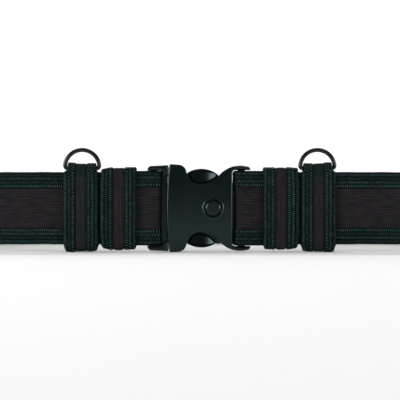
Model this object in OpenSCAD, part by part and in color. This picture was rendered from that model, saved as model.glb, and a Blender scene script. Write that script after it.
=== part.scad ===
// Two-inch tool belt, closed by a side-release buckle with a centre lock button.
// It stands on its lower edge: +X runs along the front, -Y is the front, +Z is up.
// The origin is under the middle of the loop.

/* [Strap] */
// Height of the strap from edge to edge
strap_h = 50.8; // [50:0.1:51]
// Length of the straight stretch at the front, and of the one at the back
flat_len = 240; // [236:1:280]
// Length of strap in each end bend
bend_len = 290; // [260:5:360]
// How far each bend gathers its turn towards its middle
bend_gather = 0.6; // [0.4:0.05:0.8]
// Thickness of the woven face cloth
face_t = 0.6; // [0.4:0.1:0.6]
// Thickness of the stiffening core
core_t = 1.2; // [0.8:0.1:1.2]
// Thickness of the napped lining
lining_t = 0.6; // [0.4:0.1:0.6]
// Thickness of the edge binding tape
binding_t = 0.5; // [0.3:0.1:0.5]
// Width of the binding tape on the strap's face
binding_w = 11.5; // [9:0.5:13]
// Distance from the middle of the front to the end of each folded-back tail
tail_end = 100; // [97:1:110]
// Length of the hook patch that holds each tail
hook_len = 40; // [20:1:45]

/* [Buckle] */
// Height of the female half
female_h = 61.6; // [61:0.1:62]
// Thickness of the buckle at its crown
buckle_t = 13.6; // [13.4:0.1:15]
// Thickness of the hollow inside the female half
cavity_t = 8.4; // [7.8:0.1:8.4]
// Distance from the middle to the mouth of the female half
mouth_x = 23; // [22.8:0.1:23.2]
// Distance from the middle to the web slot's inner edge
slot_x = 22.8; // [22:0.1:23]
// Distance from the middle to the end of the female half's arms
arm_end = 35.5; // [35:0.1:36]
// Distance between the buckle's arms, where the strap passes
slot_h = 53.4; // [52.6:0.1:53.4]
// Thickness of the bars that the strap folds round
bar_t = 2.8; // [2.4:0.1:2.8]
// Width of the bars
bar_w = 4.6; // [4:0.1:4.6]
// Radius of the lock button
button_r = 5.6; // [5:0.1:5.8]
// Distance from the middle to the lock button
button_x = 9.3; // [9:0.1:9.6]
// Gap round the lock button
button_gap = 0.7; // [0.5:0.1:1]

/* [Keepers] */
// Width of a keeper, the same on all four
keeper_w = 24.1; // [23:0.1:24.3]
// Distance from the middle to the inner keepers' nearer edge
inner_keeper_x = 44.4; // [44:0.1:45]
// Distance from the middle to the outer keepers' nearer edge
outer_keeper_x = 70.9; // [70.8:0.1:72]
// Thickness of a keeper's band
band_t = 1; // [0.8:0.1:1]
// Width of the binding tape on a keeper
keeper_binding_w = 8.1; // [7:0.1:8.5]
// Slack between a keeper and the doubled strap
keeper_slack = 0.35; // [0.3:0.05:0.4]

/* [D-rings] */
// Diameter of the wire
wire_d = 2.75; // [2.5:0.05:2.8]
// Radius of the arch at the wire's centre line
arch_r = 12.07; // [11.9:0.01:12.1]
// Radius of the two lower corners at the wire's centre line
corner_r = 2.6; // [2.2:0.1:3]
// Height of the straight bar above the strap's centre line
ring_bar_z = 27.8; // [27.7:0.05:28]
// Distance from the middle to a D-ring's centre
ring_x = 82.5; // [82.4:0.1:82.6]

/* [Hidden] */
$fn = 64;

// Film of thread or glue between two layers of one piece
film = 0.05;
// Room between pieces that move past each other
room = 0.3;
face_o = core_t / 2 + film;
bind_in = face_o + face_t + film;
bind_out = bind_in + binding_t;
layer_h = strap_h / 2 - binding_t - film;
// The tail's middle lies this far behind the front layer's middle
tail_u = 2 * bind_out + film;
// Middle of the doubled strap, and of the buckle
mid_u = tail_u / 2;
fold_r = bar_t / 2 + bind_out + 0.15;
// The strap's folds stay this far from the buckle's halves
male_fold_x = 27.1 + bind_out + fold_r;
female_fold_x = slot_x + 0.3 + bind_out + fold_r;
splay_len = 11;
front_z = female_h / 2;
back_z = strap_h / 2;
flat = flat_len / 2;
bend_steps = 24;

// Direction of the strap along a bend, in degrees, t running from 0 to 1
function turn(t) = 180 * (t - bend_gather * sin(360 * t) / (2 * PI));
function bend_dx(i) = bend_len / bend_steps * cos(turn((i + 0.5) / bend_steps));
function bend_dy(i) = bend_len / bend_steps * sin(turn((i + 0.5) / bend_steps));
function sum(v, n, i = 0) = i >= n ? 0 : v[i] + sum(v, n, i + 1);
dx = [for (i = [0:bend_steps - 1]) bend_dx(i)];
dy = [for (i = [0:bend_steps - 1]) bend_dy(i)];
loop_depth = sum(dy, bend_steps);
buckle_front = mid_u - buckle_t / 2;
// The front strap's middle, so that the loop with its buckle is centred on the origin
front_y = -(loop_depth + bind_out + buckle_front) / 2;

function smooth(t) = t * t * (3 - 2 * t);
// Station: x, y, drop of the strap, and the direction that its face looks in
function along(x, y, drop, a) = [x, y, drop, cos(a), sin(a)];

// From the tail's end round the bar to the start of the front's straight stretch
function fold_run(fold_x) = concat(
    [along(tail_end, tail_u, 0, 90)],
    [for (i = [0:5]) let (t = i / 5, slope = 6 * t * (1 - t) * (fold_r - mid_u) / splay_len)
        along(fold_x + splay_len * (1 - t), tail_u + (fold_r - mid_u) * smooth(t), 0, 90 - atan(slope))],
    [for (i = [1:7]) along(fold_x + fold_r * cos(90 + i * 22.5), mid_u + fold_r * sin(90 + i * 22.5),
        0, 90 + i * 22.5)],
    [for (i = [0:5]) let (t = i / 5, slope = 6 * t * (1 - t) * (fold_r - mid_u) / splay_len)
        along(fold_x + splay_len * t, (mid_u - fold_r) + (fold_r - mid_u) * smooth(t), 0, atan(slope) - 90)]
);
// One end bend, dropping from the front's height to the back's
bend_run = [for (i = [0:bend_steps]) let (t = i / bend_steps)
    along(flat + sum(dx, i), sum(dy, i), (back_z - front_z) * smooth(t), turn(t) - 90)];
back_run = [along(film - flat, loop_depth, back_z - front_z, 90)];

// Solid of a section carried along stations; quads are the section split into four-sided parts
module sweep(stations, section, quads) {
    n = len(section);
    m = len(stations);
    points = [for (s = stations) for (p = section) [s[0] + p[0] * s[3], s[1] + p[0] * s[4], s[2] + p[1]]];
    sides = [for (i = [0:m - 2]) for (j = [0:n - 1]) let (a = i * n + j, b = i * n + (j + 1) % n)
        each [[a, b, b + n], [a, b + n, a + n]]];
    near = [for (q = quads) [q[3], q[2], q[1], q[0]]];
    far = [for (q = quads) q + [1, 1, 1, 1] * (m - 1) * n];
    polyhedron(points, concat(near, sides, far));
}

module at_front() {
    translate([0, front_y, front_z]) children();
}

module layer(stations, lo, hi) {
    at_front() sweep(stations, [[lo, -layer_h], [lo, layer_h], [hi, layer_h], [hi, -layer_h]], [[0, 1, 2, 3]]);
}

// Binding folded over the upper edge, or with side -1 over the lower edge
module edge_binding(stations, side) {
    top = strap_h / 2;
    cap = top - binding_t;
    foot = top - binding_w;
    u_shape = [[-bind_out, foot], [-bind_out, top], [bind_out, top], [bind_out, foot],
        [bind_in, foot], [bind_in, cap], [-bind_in, cap], [-bind_in, foot]];
    flipped = [for (i = [len(u_shape) - 1:-1:0]) [u_shape[i][0], -u_shape[i][1]]];
    at_front() sweep(stations, side > 0 ? u_shape : flipped, [[0, 1, 6, 7], [1, 2, 5, 6], [2, 3, 4, 5]]);
}

module face_layer(stations) {
    color([0.12, 0.12, 0.13]) layer(stations, face_o, face_o + face_t);
}

module core_layer(stations) {
    color([0.2, 0.2, 0.2]) layer(stations, -core_t / 2, core_t / 2);
}

module lining_layer(stations) {
    color([0.1, 0.1, 0.1]) layer(stations, -face_o - lining_t, -face_o);
}

module binding_layer(stations, side) {
    color([0.09, 0.13, 0.13]) edge_binding(stations, side);
}

right_run = concat(fold_run(female_fold_x), bend_run, back_run);
left_run = concat(fold_run(male_fold_x), [along(flat - room, 0, 0, -90)]);

module hook_patch() {
    thickness = tail_u - 2 * (face_o + lining_t) - 2 * film;
    color([0.16, 0.16, 0.17]) at_front()
        translate([tail_end - hook_len - 2, face_o + lining_t + film, -strap_h / 2 + binding_w + 1])
            cube([hook_len, thickness, strap_h - 2 * binding_w - 2]);
}

// A flat shape drawn in x and z, standing between depths u0 and u1
module slab(u0, u1) {
    translate([0, u1, 0]) rotate([90, 0, 0]) linear_extrude(u1 - u0) children();
}

// A shape drawn in depth and z, running along x for a width
module run_along(width) {
    rotate([90, 0, 90]) linear_extrude(width) children();
}

function arc(c, r, a0, a1, n) = [for (i = [0:n]) let (a = a0 + (a1 - a0) * i / n) c + r * [cos(a), sin(a)]];
function mirrored(v) = [for (i = [len(v) - 1:-1:0]) [v[i][0], -v[i][1]]];

mouth_r = 250;
mouth_turn = asin((front_z - 0.6) / mouth_r);
// Upper half of the female half's outline, from the mouth round to the web slot
female_edge = concat(
    arc([mouth_r - mouth_x, 0], mouth_r, 180, 180 - mouth_turn, 8),
    arc([-20.4, front_z - 0.7], 0.7, 160, 90, 4),
    arc([-15.0, 24.6], 5.8, 88, 5, 8),
    arc([0.3, 25.7], 8.7, 200, 270, 10),
    arc([0.3, 34.5], 17.5, 272, 318.5, 12),
    arc([28.4, 10.3], 19.6, 139.4, 76, 16),
    arc([arm_end - 2.5, 26.9], 2.5, 70, 4, 5),
    [[arm_end, slot_h / 2]],
    arc([slot_x + 2, slot_h / 2 - 2], 2, 90, 180, 6)
);

// Groove that sets off the lip along the mouth
module lip_groove(depth) {
    slab(-buckle_t, depth) difference() {
        translate([mouth_r - mouth_x + lip_w, 0]) circle(r = mouth_r, $fn = 360);
        translate([mouth_r - mouth_x + lip_w + groove_w, 0]) circle(r = mouth_r, $fn = 360);
    }
}

crown_x = 4;
crown_rx = 600;
crown_rz = 500;
rim_t = 0.35;

// A flat shape made as thick as the buckle, with its front gently crowned both ways
module crowned(front) {
    intersection() {
        slab(front, buckle_t / 2) children();
        translate([crown_x, front + crown_rx, 0]) cylinder(r = crown_rx, h = 80, center = true, $fn = 720);
        translate([0, front + crown_rz, 0]) rotate([0, 90, 0])
            cylinder(r = crown_rz, h = 120, center = true, $fn = 720);
    }
}

module strap_bar(fold_x) {
    translate([0, 0, -slot_h / 2 - 0.5]) linear_extrude(slot_h + 1) {
        translate([fold_x, 0]) circle(d = bar_t);
        translate([fold_x + bar_w - bar_t, 0]) circle(d = bar_t);
        translate([fold_x, -bar_t / 2]) square([bar_w - bar_t, bar_t]);
    }
}

// Half-heights inside the female half: past the bridge, and where the prongs catch
bridge_z = 25.3;
catch_x = -9.3;
hole_r = button_r + button_gap;
rim_w = 0.9;
lip_w = 3.4;
groove_w = 0.8;
groove_deep = 0.4;

module female_cavity() {
    slab(-cavity_t / 2, cavity_t / 2)
        polygon([[-30, -bridge_z], [catch_x, -bridge_z], [catch_x, -28], [14, -28], [14, -15.5], [17.5, -12],
            [17.5, 12], [14, 15.5], [14, 28], [catch_x, 28], [catch_x, bridge_z], [-30, bridge_z]]);
}

module female_body() {
    color([0.1, 0.14, 0.14]) at_front() translate([0, mid_u, 0]) {
        difference() {
            union() {
                crowned(rim_t - buckle_t / 2) polygon(concat(female_edge, mirrored(female_edge)));
                crowned(-buckle_t / 2) translate([button_x, 0]) circle(r = hole_r + rim_w);
            }
            female_cavity();
            lip_groove(rim_t - buckle_t / 2 + 0.6 + groove_deep);
            slab(-buckle_t, 0) translate([button_x, 0]) circle(r = hole_r);
        }
        strap_bar(female_fold_x);
    }
}

// Upper arm of the male frame
arm_edge = concat(
    arc([-33.5, 26.4], 3.2, 180, 100, 6),
    [[-22.0, 30.1], [-22.7, slot_h / 2 - 4.2], [-26, slot_h / 2 - 0.3], [-36.7, slot_h / 2 - 0.3]]
);
// Thickness of the male frame's cross piece, and of its base
cross_t = 3;
base_t = 6.4;
base_x = -18.2;

module male_frame() {
    color([0.1, 0.14, 0.14]) at_front() translate([0, mid_u, 0]) {
        for (side = [0, 1]) mirror([0, 0, side]) slab(-4.9, 4.9) polygon(arm_edge);
        slab(-cross_t / 2, cross_t / 2)
            translate([-26.8, -slot_h / 2 - 1.5]) square([4, slot_h + 3]);
        slab(-base_t / 2, base_t / 2)
            translate([-22.9, 1.2 - bridge_z]) square([base_x + 22.9, 2 * bridge_z - 2.4]);
        for (z = [-9.4, 9.4]) slab(-3, 3) translate([base_x - 0.5, z - 1]) square([26, 2]);
        mirror([1, 0, 0]) strap_bar(male_fold_x);
    }
}

prong_z = 20;
prong_root_r = 1.9;
prong_x = base_x + room + prong_root_r;
pad_t = cavity_t - 2 * room;
// Upper prong: the arm from its root, and the pad that fills the side window
pad_edge = concat(
    [[prong_x, prong_z - prong_root_r], [-10.5, prong_z - 2.2], [-5, 15.2], [7, 15.2], [12.4, 17.6]],
    arc([1.1, 8.9], 18.6, 49, 122, 14),
    [[-8.6, 22.4], [prong_x, prong_z + prong_root_r]]
);
// The thumb's hollow is a ball's cut in the pad's front and back, inside a raised rim
dish_r = 16;
dish_deep = 1.6;
dish_z = 19.5;
pad_rim_t = 11.6;

module prong() {
    at_front() translate([0, mid_u, 0]) {
        difference() {
            slab(-pad_t / 2, pad_t / 2) {
                polygon(pad_edge);
                translate([prong_x, prong_z]) circle(r = prong_root_r);
            }
            for (side = [-1, 1])
                translate([2, side * (pad_t / 2 + dish_r - dish_deep), dish_z]) sphere(r = dish_r);
        }
        slab(-pad_rim_t / 2, pad_rim_t / 2) difference() {
            intersection() {
                polygon(pad_edge);
                translate([-8, 12]) square([29, 20]);
            }
            translate([1.1, -5]) circle(r = 30.5, $fn = 180);
        }
    }
}

module prong_upper() {
    color([0.1, 0.14, 0.14]) prong();
}

module prong_lower() {
    color([0.1, 0.14, 0.14]) translate([0, 0, 2 * front_z]) mirror([0, 0, 1]) prong();
}

tongue_half = 6.4;
tongue_front = -cavity_t / 2 + 0.35;
tongue_t = 2.4;
button_front = 0.3 - buckle_t / 2;
chamfer = 0.7;

module lock_tongue() {
    root_u = tongue_front + tongue_t / 2;
    color([0.1, 0.14, 0.14]) at_front() translate([0, mid_u, 0]) {
        slab(tongue_front, tongue_front + tongue_t) {
            translate([prong_x, -tongue_half]) square([button_x - prong_x, 2 * tongue_half]);
            translate([button_x, 0]) circle(r = tongue_half);
        }
        translate([prong_x, root_u, -tongue_half]) cylinder(d = tongue_t, h = 2 * tongue_half);
        slab(button_front + chamfer, tongue_front + 0.5) translate([button_x, 0]) circle(r = button_r);
        translate([button_x, button_front + chamfer, 0]) rotate([90, 0, 0])
            cylinder(r1 = button_r, r2 = button_r - 1.3, h = chamfer);
    }
}

// Depths of a keeper's band, measured from the front layer's middle
ring_in = -bind_out - keeper_slack;
ring_back = tail_u + bind_out + keeper_slack;
tape = binding_t + film;
ring_wire = wire_d / 2;
// Inside half-height of a plain keeper, and the D-ring keepers' deeper foot
plain_z = 26.4;
deep_z = 28.1;
ring_notch_z = 25.7;

// A keeper's section grown outwards by g from its inner wall; a D-ring keeper narrows to a roll round the bar
module keeper_outline(g, d_ring) {
    foot = d_ring ? deep_z : plain_z;
    head = d_ring ? ring_notch_z : plain_z;
    r = 0.5 + g;
    hull() {
        for (u = [ring_in - g + r, ring_back + g - r]) for (z = [-foot - g + r, head + g - r])
            translate([u, z]) circle(r = r, $fn = 24);
        if (d_ring) translate([mid_u, ring_bar_z]) circle(r = ring_wire + 0.2 + g, $fn = 32);
    }
}

module keeper_ring(g0, g1, d_ring) {
    difference() {
        keeper_outline(g1, d_ring);
        keeper_outline(g0, d_ring);
    }
}

// Clears the D-ring's two lower corners at both edges of an outer keeper
module ring_notches(nearer) {
    half = arch_r - 2.2 * ring_wire;
    for (side = [-1, 1]) translate([ring_x - nearer + side * (half + 10), 0, ring_notch_z + 15])
        cube([20, 60, 30], center = true);
}

flap_u = ring_back + 2 * tape + band_t + tape + room;
flap_top = 21;
flap_foot = -17;
hinge_r = 0.5 * band_t;

// Places a keeper: 1 and 2 on the left, 3 and 4 on the right, 1 and 4 with D-rings
module at_keeper(k) {
    nearer = k == 1 || k == 4 ? outer_keeper_x : inner_keeper_x;
    mirror([k < 3 ? 1 : 0, 0, 0]) translate([nearer, 0, 0]) at_front() children();
}

// An inner keeper starts a little later, clear of the D-ring beside it
function has_ring(k) = k == 1 || k == 4;
function width(k) = has_ring(k) ? keeper_w : keeper_w + 0.3;

module keeper_band(k) {
    color([0.12, 0.12, 0.13]) at_keeper(k) difference() {
        translate([tape, 0, 0]) run_along(width(k) - 2 * tape) {
            keeper_ring(tape, tape + band_t, has_ring(k));
            translate([ring_back + tape, flap_top + room]) square([flap_u + band_t - ring_back - tape, band_t]);
        }
        if (has_ring(k)) ring_notches(outer_keeper_x);
    }
}

// The tape that folds over one edge of a keeper, side 0 on the buckle's side
module keeper_binding(k, side) {
    w = width(k);
    color([0.09, 0.13, 0.13]) at_keeper(k) translate([side * w, 0, 0]) mirror([side, 0, 0]) difference() {
        run_along(keeper_binding_w) keeper_ring(0, 2 * tape + band_t, has_ring(k));
        translate([binding_t, 0, 0])
            run_along(keeper_binding_w) keeper_ring(tape - film, tape + film + band_t, has_ring(k));
        translate([binding_t, ring_back + tape, flap_top + room - film])
            cube([keeper_w, 10, band_t + 2 * film]);
        if (has_ring(k)) translate([side * w, 0, 0]) mirror([side, 0, 0]) ring_notches(outer_keeper_x);
    }
}

// The flap that closes a keeper at the back, with its bound edges
module keeper_flap(k) {
    w = width(k);
    color([0.12, 0.12, 0.13]) at_keeper(k) {
        translate([0, flap_u, flap_foot]) cube([w, band_t, flap_top - hinge_r - flap_foot]);
        translate([0, flap_u + hinge_r, flap_top - hinge_r]) rotate([0, 90, 0]) cylinder(r = hinge_r, h = w);
        for (x = [0, w - keeper_binding_w]) translate([x, flap_u - tape, flap_foot])
            cube([keeper_binding_w, band_t + 2 * tape, flap_top - 2 - flap_foot]);
    }
}

module patch(k, u0, u1) {
    margin = keeper_binding_w + 0.3;
    at_keeper(k) translate([margin, u0, flap_foot + 2])
        cube([width(k) - 2 * margin, u1 - u0, flap_top - flap_foot - 8]);
}

module keeper_hook(k) {
    color([0.16, 0.16, 0.17]) patch(k, flap_u - tape, flap_u - film);
}

module keeper_loop(k) {
    color([0.14, 0.14, 0.15]) patch(k, ring_back + tape + band_t + film, ring_back + 2 * tape + band_t);
}

arch_drop = 0.95;
corner_z = corner_r - arch_drop;
corner_x = sqrt(pow(arch_r - corner_r, 2) - corner_z * corner_z);
corner_a = atan2(corner_z, corner_x);

// Centre line of the bent wire, from inside one end of the bar round to inside the other
wire_bend = concat(
    [[-corner_x + 0.6, -arch_drop, 180]],
    [for (a = [270:-(90 + corner_a) / 6:180 - corner_a - 0.01])
        [-corner_x + corner_r * cos(a), corner_z + corner_r * sin(a), a - 90]],
    [for (i = [1:23]) let (a = 180 - corner_a - i * (180 - 2 * corner_a) / 24)
        [arch_r * cos(a), arch_r * sin(a), a - 90]],
    [for (a = [corner_a:-(90 + corner_a) / 6:-90.01])
        [corner_x + corner_r * cos(a), corner_z + corner_r * sin(a), a - 90]],
    [[corner_x - 0.6, -arch_drop, -180]]
);
wire_sides = 12;

module bent_wire() {
    n = wire_sides;
    m = len(wire_bend);
    points = [for (w = wire_bend) for (j = [0:n - 1]) let (b = 360 * j / n, out = ring_wire * cos(b))
        [w[0] - out * sin(w[2]), ring_wire * sin(b), w[1] + out * cos(w[2])]];
    sides = [for (i = [0:m - 2]) for (j = [0:n - 1]) let (a = i * n + j, b = i * n + (j + 1) % n)
        each [[a, b, b + n], [a, b + n, a + n]]];
    near = [for (j = [n - 1:-1:0]) j];
    far = [for (j = [0:n - 1]) (m - 1) * n + j];
    polyhedron(points, concat([near], sides, [far]));
}

module d_ring(x) {
    color([0.05, 0.05, 0.06]) at_front() translate([x, mid_u, ring_bar_z + arch_drop]) {
        bent_wire();
        translate([-corner_x, 0, -arch_drop]) rotate([0, 90, 0]) cylinder(r = ring_wire + 0.03, h = 2 * corner_x);
    }
}

module left() {
    mirror([1, 0, 0]) children();
}

face_layer(right_run);  // strap_face
core_layer(right_run);  // strap_core
lining_layer(right_run);  // strap_lining
binding_layer(right_run, 1);  // strap_binding_upper
binding_layer(right_run, -1);  // strap_binding_lower
left() face_layer(bend_run);  // bend_face
left() core_layer(bend_run);  // bend_core
left() lining_layer(bend_run);  // bend_lining
left() binding_layer(bend_run, 1);  // bend_binding_upper
left() binding_layer(bend_run, -1);  // bend_binding_lower
left() face_layer(left_run);  // left_strap_face
left() core_layer(left_run);  // left_strap_core
left() lining_layer(left_run);  // left_strap_lining
left() binding_layer(left_run, 1);  // left_strap_binding_upper
left() binding_layer(left_run, -1);  // left_strap_binding_lower
left() hook_patch();  // hook_patch_left
hook_patch();  // hook_patch_right
female_body();
male_frame();
prong_upper();
prong_lower();
lock_tongue();
keeper_band(1);  // keeper_1_band
keeper_binding(1, 1);  // keeper_1_binding_outer
keeper_binding(1, 0);  // keeper_1_binding_inner
keeper_flap(1);  // keeper_1_flap
keeper_hook(1);  // keeper_1_hook
keeper_loop(1);  // keeper_1_loop
keeper_band(2);  // keeper_2_band
keeper_binding(2, 1);  // keeper_2_binding_outer
keeper_binding(2, 0);  // keeper_2_binding_inner
keeper_flap(2);  // keeper_2_flap
keeper_hook(2);  // keeper_2_hook
keeper_loop(2);  // keeper_2_loop
keeper_band(3);  // keeper_3_band
keeper_binding(3, 1);  // keeper_3_binding_outer
keeper_binding(3, 0);  // keeper_3_binding_inner
keeper_flap(3);  // keeper_3_flap
keeper_hook(3);  // keeper_3_hook
keeper_loop(3);  // keeper_3_loop
keeper_band(4);  // keeper_4_band
keeper_binding(4, 1);  // keeper_4_binding_outer
keeper_binding(4, 0);  // keeper_4_binding_inner
keeper_flap(4);  // keeper_4_flap
keeper_hook(4);  // keeper_4_hook
keeper_loop(4);  // keeper_4_loop
d_ring(-ring_x);  // d_ring_left
d_ring(ring_x);  // d_ring_right
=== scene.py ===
"""The tool belt's visual model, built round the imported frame. Millimetres until a mesh is made."""

import math
from types import SimpleNamespace

import bpy
import numpy as np
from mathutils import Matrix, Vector


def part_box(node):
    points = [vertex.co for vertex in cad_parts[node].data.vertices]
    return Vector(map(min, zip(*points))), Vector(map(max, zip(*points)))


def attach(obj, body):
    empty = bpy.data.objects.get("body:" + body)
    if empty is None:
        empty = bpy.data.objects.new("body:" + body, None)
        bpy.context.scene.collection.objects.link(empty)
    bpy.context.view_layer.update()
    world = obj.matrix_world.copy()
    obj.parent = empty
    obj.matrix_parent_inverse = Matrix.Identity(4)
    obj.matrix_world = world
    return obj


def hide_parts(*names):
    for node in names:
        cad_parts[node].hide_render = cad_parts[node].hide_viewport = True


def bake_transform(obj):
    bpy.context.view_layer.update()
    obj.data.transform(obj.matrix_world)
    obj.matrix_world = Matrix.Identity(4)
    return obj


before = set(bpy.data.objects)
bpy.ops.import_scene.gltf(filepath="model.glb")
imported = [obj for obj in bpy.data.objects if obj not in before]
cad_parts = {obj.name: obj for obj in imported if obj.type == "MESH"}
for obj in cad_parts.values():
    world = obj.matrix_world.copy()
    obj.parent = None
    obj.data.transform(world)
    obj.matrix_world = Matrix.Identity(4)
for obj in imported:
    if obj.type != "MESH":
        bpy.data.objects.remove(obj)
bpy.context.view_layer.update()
MM = 0.001


def box(node):
    return [np.array(corner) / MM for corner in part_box(node)]


# --- Places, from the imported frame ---

# The strap: half its core's thickness, the depths of the cloth on each face, and the height of both
CORE_HALF, CLOTH_IN, CLOTH_OUT = 0.6, 0.65, 1.25
HALF, CLOTH_HALF = 25.4, 23.9
# The tape folded over its edges: its width on each face, and its inner and outer depth
STRAP_TAPE = (11.5, 1.30, 1.80)

MID_U = 1.825  # the buckle's middle lies this far behind the front strap's
body_lo, body_hi = box("female_body")
FRONT_Y = (body_lo[1] + body_hi[1]) / 2 - MID_U
FRONT_Z = (body_lo[2] + body_hi[2]) / 2
BACK_Y = box("strap_core")[1][1] - CORE_HALF
BACK_Z = HALF
DEPTH = BACK_Y - FRONT_Y
FLAT = -box("strap_core")[0][0]  # the bends start this far from the middle
TAIL_END, TAIL_U = 100.0, 3.65
BEND_LEN, GATHER = 290.0, 0.6
FOLD_R = 3.35
FOLD_X = {1: 28.25, -1: 31.6}  # middles of the folds round the buckle's bars, on its female and its male side
SPLAY = 11.0  # the length over which a fold's two layers close up
RING_X, RING_BAR = 82.5, 27.8  # middles of the D-rings, and the height of their straight bars
EDGES = {"upper": 1, "lower": -1}


# --- Meshes ---


def add(name, data):
    obj = bpy.data.objects.new(name, data)
    bpy.context.scene.collection.objects.link(obj)
    return obj


def make(name, points, quads, caps=(), uv=None, values=None, material=None, sharp=48, normals=None):
    """A mesh object from points in millimetres, four-sided faces and end caps."""
    points = np.asarray(points, float)
    quads = np.asarray(quads, np.int64).reshape(-1, 4)
    a, b, c, d = (points[quads[:, i]] for i in range(4))
    volume = (np.einsum("ij,ij->i", a, np.cross(b, c)) + np.einsum("ij,ij->i", a, np.cross(c, d))).sum()
    if volume < 0:
        quads = quads[:, ::-1]
        caps = [cap[::-1] for cap in caps]
        uv = None if uv is None else uv[:, ::-1]
    loops = np.concatenate([quads.ravel()] + [np.asarray(cap) for cap in caps]).astype(np.int32)
    totals = np.array([4] * len(quads) + [len(cap) for cap in caps])
    mesh = bpy.data.meshes.new(name)
    mesh.vertices.add(len(points))
    mesh.vertices.foreach_set("co", (points * MM).astype(np.float32).ravel())
    mesh.loops.add(len(loops))
    mesh.loops.foreach_set("vertex_index", loops)
    mesh.polygons.add(len(totals))
    mesh.polygons.foreach_set("loop_start", np.concatenate([[0], np.cumsum(totals)[:-1]]).astype(np.int32))
    if uv is not None:
        flat = np.zeros((len(loops), 2), np.float32)
        flat[: len(quads) * 4] = uv.reshape(-1, 2)
        mesh.uv_layers.new(name="cloth").data.foreach_set("uv", flat.ravel())
    if values is not None:
        relief = mesh.attributes.new("relief", "FLOAT", "POINT")
        relief.data.foreach_set("value", np.asarray(values, np.float32).ravel())
    mesh.update(calc_edges=True)
    mesh.polygons.foreach_set("use_smooth", np.ones(len(mesh.polygons), bool))
    if normals is None:
        mesh.set_sharp_from_angle(angle=math.radians(sharp))
    else:
        mesh.normals_split_custom_set_from_vertices(normals.tolist())
    mesh.materials.append(material)
    return add(name, mesh)


CORNERS = ((0, 0), (1, 0), (1, 1), (0, 1))


def lattice(rows, cols, closed):
    """Faces of a grid of points that closes across its rows, and each face's row and column."""
    gi, gj = np.meshgrid(np.arange(rows if closed else rows - 1), np.arange(cols), indexing="ij")
    faces = np.stack([((gi + a) % rows) * cols + (gj + b) % cols for a, b in CORNERS], -1)
    return faces.reshape(-1, 4), gi, gj


def sweep(name, run, across, out, along, lengths, values, material):
    """Carries a closed section along a run: points, outward directions, distances, and whether it closes.
    out and along are each point's place in the section, row by row."""
    path, normal, s, closed = run
    aside = np.array(across, float) * along[..., None]
    points = path[:, None, :] + normal[:, None, :] * out[..., None] + aside
    rows, cols = points.shape[:2]
    quads, gi, gj = lattice(rows, cols, closed)
    u = np.append(s, 2 * s[-1] - s[-2])
    v = np.append(lengths, lengths[-1] + 0.5)
    uv = np.stack([np.stack([u[gi + a], v[gj + b]], -1) for a, b in CORNERS], -2).reshape(-1, 4, 2)
    caps = [] if closed else [np.arange(cols)[::-1], (rows - 1) * cols + np.arange(cols)]
    return make(name, points.reshape(-1, 3), quads, caps, uv, values, material)


def circle(n):
    """Angles of n even steps round a circle."""
    return np.linspace(0, 2 * math.pi, n + 1)[:-1]


def smooth(t):
    t = np.clip(t, 0, 1)
    return t * t * (3 - 2 * t)


def lengths_of(points):
    """Distance along a line from its first point to each of its points."""
    return np.concatenate([[0], np.cumsum(np.linalg.norm(np.diff(points, axis=0), axis=1))])


def resample(points, step, closed=False):
    """Points a given step apart along a line, and the distance of each from its start."""
    points = np.asarray(points, float)
    if closed:
        points = np.vstack([points, points[:1]])
    length = lengths_of(points[:, :2])
    at = np.linspace(0, length[-1], max(8, int(round(length[-1] / step))) + 1)
    out = np.stack([np.interp(at, length, points[:, k]) for k in range(points.shape[1])], -1)
    return (out[:-1], at[:-1]) if closed else (out, at)


def unit(rows):
    return rows / np.linalg.norm(rows, axis=1)[:, None]


def round_tangent(points):
    """Unit direction of travel along a closed line."""
    return unit(np.roll(points, -1, 0) - np.roll(points, 1, 0))


def right_of(path, closed=False):
    """Unit direction to the right of travel along a flat path."""
    tangent = round_tangent(path[:, :2]) if closed else unit(np.gradient(path[:, :2], axis=0))
    return np.stack([tangent[:, 1], -tangent[:, 0]], -1)


def wander(s, seed, size, wave):
    """A slow, irregular drift along a piece of cloth."""
    dice = np.random.default_rng(seed)
    total = np.zeros_like(s, float)
    for octave in (1.0, 0.53, 0.27):
        length = wave * octave * dice.uniform(0.85, 1.15)
        total += octave * np.sin(2 * math.pi * s / length + dice.uniform(0, 6.28))
    return size * total / 1.8


# --- Cloth ---


def line(a, b, step):
    """Places from a to just before b, at most a step apart."""
    return np.linspace(a, b, max(1, math.ceil(abs(b - a) / step)) + 1)[:-1]


def folded_tape(width, r_in, r_out, step, coarse=3):
    """Section of a tape folded over an edge at 0, and each point's distance round its outside, -1 inside."""
    rim, mid = (r_out - r_in) / 2, (r_out + r_in) / 2
    foot = -width + rim
    bow = np.linspace(0, math.pi, 6)[:-1]
    outside = [(r_out, b) for b in line(foot, -r_out, step)]
    outside += [(r_out * math.cos(a), -r_out + r_out * math.sin(a)) for a in np.linspace(0, math.pi, 10)[:-1]]
    outside += [(-r_out, b) for b in line(-r_out, foot, step)]
    inside = [(-mid - rim * math.cos(a), foot - rim * math.sin(a)) for a in bow]
    inside += [(-r_in, b) for b in line(foot, -r_out, coarse)]
    inside += [(-r_in * math.cos(a), -r_out + r_in * math.sin(a)) for a in np.linspace(0, math.pi, 7)[:-1]]
    inside += [(r_in, b) for b in line(-r_out, foot, coarse)]
    inside += [(mid - rim * math.cos(a), foot - rim * math.sin(a)) for a in bow]
    section = np.array(outside + inside)
    lengths = lengths_of(section)
    round_ = np.where(np.arange(len(section)) < len(outside), lengths, -1.0)
    return section, round_, lengths


def flat_layer(lo, hi, half, fine, step, coarse=2.5):
    """Section of a flat layer from depth lo to hi, finely divided within fine of its middle."""
    side = np.concatenate([line(-half, -fine, coarse), line(-fine, fine, step), line(fine, half, coarse)])
    section = np.array([(hi, b) for b in side] + [(hi, half)] + [(lo, -b) for b in side] + [(lo, -half)])
    return section, lengths_of(section)


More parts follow.
